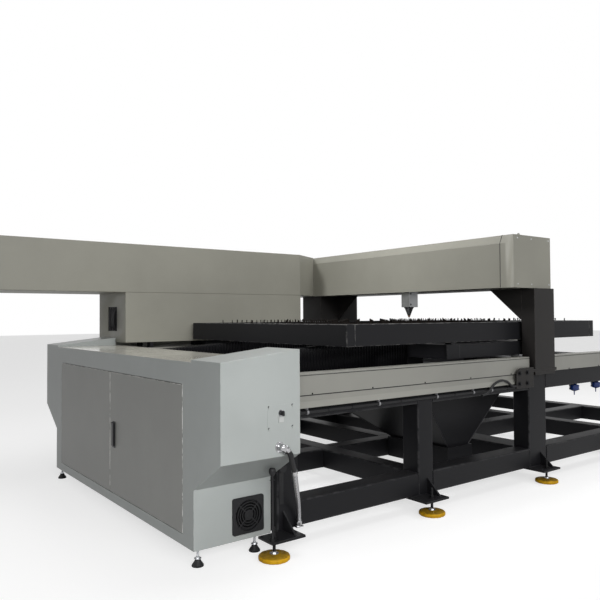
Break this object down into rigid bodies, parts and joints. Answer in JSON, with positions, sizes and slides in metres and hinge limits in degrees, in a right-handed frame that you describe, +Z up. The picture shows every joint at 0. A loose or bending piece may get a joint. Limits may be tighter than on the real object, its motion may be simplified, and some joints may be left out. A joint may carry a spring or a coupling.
{
  "type": "laser die board cutter",
  "caption": "Laser die board cutter with a spiked moving table, a fixed gantry with a travelling head, a side laser housing and an end electrical cabinet.",
  "frame": {"origin": "on the floor at the middle of the machine's length and of the bed's width", "axes": "+X along the bed and the table's travel, away from the cabinet; +Y across the bed from the open side to the laser housing; +Z up"},
  "size_m": [5.39, 2.659, 1.661],
  "materials": {
    "frame_paint": "satin charcoal paint",
    "housing_paint": "satin grey-beige paint",
    "cabinet_paint": "fine satin light grey paint",
    "door_paint": "satin warm grey paint",
    "cover_paint": "satin light beige-grey paint",
    "black_paint": "satin black paint",
    "ground_steel": "ground and oiled",
    "zinc_steel": "bright zinc plate",
    "chrome": "polished",
    "aluminium": "anodised, satin",
    "copper_alloy": "machined",
    "pad_rubber": "mustard yellow, matt",
    "black_rubber": "matt",
    "bellows_cloth": "coated cloth, slight sheen",
    "black_plastic": "matt",
    "grey_plastic": "matt",
    "blue_plastic": "glossy dark blue"
  },
  "bodies": {
    "machine": {"posts": "frame_paint", "bottom_rails": "frame_paint", "top_rails": "frame_paint", "cross_tubes": "frame_paint", "guide_beams": "frame_paint", "linear_rails": "ground_steel", "pad_brackets": "frame_paint", "pad_studs": "black_paint", "machine_pads": "pad_rubber", "rail_cover_near": "cover_paint", "rail_skirt_near": "cover_paint", "rail_cover_far": "cover_paint", "bellows": "bellows_cloth", "bellows_stands": "frame_paint", "hopper": "frame_paint", "hopper_outlet": "frame_paint", "cable_bundle": "black_rubber", "cable_clips": "zinc_steel", "filter_cups": "blue_plastic", "near_column": "frame_paint", "far_column": "frame_paint", "gantry_beam": "frame_paint", "beam_cover": "housing_paint", "beam_end_cap": "housing_paint", "head_rails": "ground_steel", "head_supports": "black_paint", "laser_housing": "housing_paint", "laser_source": "aluminium", "housing_feet": "frame_paint", "cabinet_shell": "cabinet_paint", "cabinet_lid": "cabinet_paint", "door_pins": "zinc_steel", "mounting_plate": "zinc_steel", "electrical_modules": "grey_plastic", "cabinet_feet": "black_paint", "fan_guard": "black_plastic", "fan_frame": "black_plastic", "key_switch": "chrome", "conduit_fittings": "chrome", "conduit": "black_rubber", "end_plates": "cabinet_paint", "bumper": "black_rubber", "ball_screw": "ground_steel"},
    "table": {"carriage_frame": "frame_paint", "guide_blocks": "zinc_steel", "table_frame": "frame_paint", "support_strips": "zinc_steel", "nut_motor": "black_paint"},
    "drive_nut": {"drive_nut": "ground_steel"},
    "head": {"head_carriage": "aluminium"},
    "head_screw": {"head_screw": "ground_steel"},
    "focus": {"z_slide": "aluminium", "nozzle": "copper_alloy"},
    "door_near": {"door_near": "door_paint", "lock_plate": "black_plastic"},
    "door_far": {"door_far": "door_paint"},
    "lock_lever": {"lock_lever": "black_plastic"},
    "key": {"key": "black_plastic"},
    "fan": {"fan_impeller": "black_plastic"}
  },
  "joints": [
    {"name": "table_slide", "type": "slide", "parent": "machine", "child": "table", "axis": [1, 0, 0], "range_m": [-0.85, 1.3], "deforming": ["bellows"]},
    {"name": "nut_turn", "type": "hinge", "parent": "table", "child": "drive_nut", "pos_m": [-0.285, -0.106, 0.794], "axis": [1, 0, 0], "continuous": true},
    {"name": "head_slide", "type": "slide", "parent": "machine", "child": "head", "axis": [0, 1, 0], "range_m": [-0.8, 0.8]},
    {"name": "screw_turn", "type": "hinge", "parent": "machine", "child": "head_screw", "pos_m": [0.322, -0.106, 1.437], "axis": [0, 1, 0], "continuous": true},
    {"name": "focus_slide", "type": "slide", "parent": "head", "child": "focus", "axis": [0, 0, 1], "range_m": [-0.006, 0.04]},
    {"name": "door_near_hinge", "type": "hinge", "parent": "machine", "child": "door_near", "pos_m": [-2.104, -0.906, 0.468], "axis": [0, 0, 1], "range_deg": [0, 110]},
    {"name": "door_far_hinge", "type": "hinge", "parent": "machine", "child": "door_far", "pos_m": [-2.104, 0.906, 0.468], "axis": [0, 0, -1], "range_deg": [0, 110]},
    {"name": "lock_turn", "type": "hinge", "parent": "door_near", "child": "lock_lever", "pos_m": [-2.118, -0.065, 0.52], "axis": [0, 1, 0], "range_deg": [0, 75]},
    {"name": "key_turn", "type": "hinge", "parent": "machine", "child": "key", "pos_m": [-1.803, -1.2655, 0.69], "axis": [0, 1, 0], "range_deg": [0, 90]},
    {"name": "fan_turn", "type": "hinge", "parent": "machine", "child": "fan", "pos_m": [-1.827, -1, 0.188], "axis": [0, 1, 0], "continuous": true}
  ],
  "couplings": [
    {"joint": "nut_turn", "follows": "table_slide", "rad_per_m": -157.08},
    {"joint": "screw_turn", "follows": "head_slide", "rad_per_m": 314.16}
  ]
}
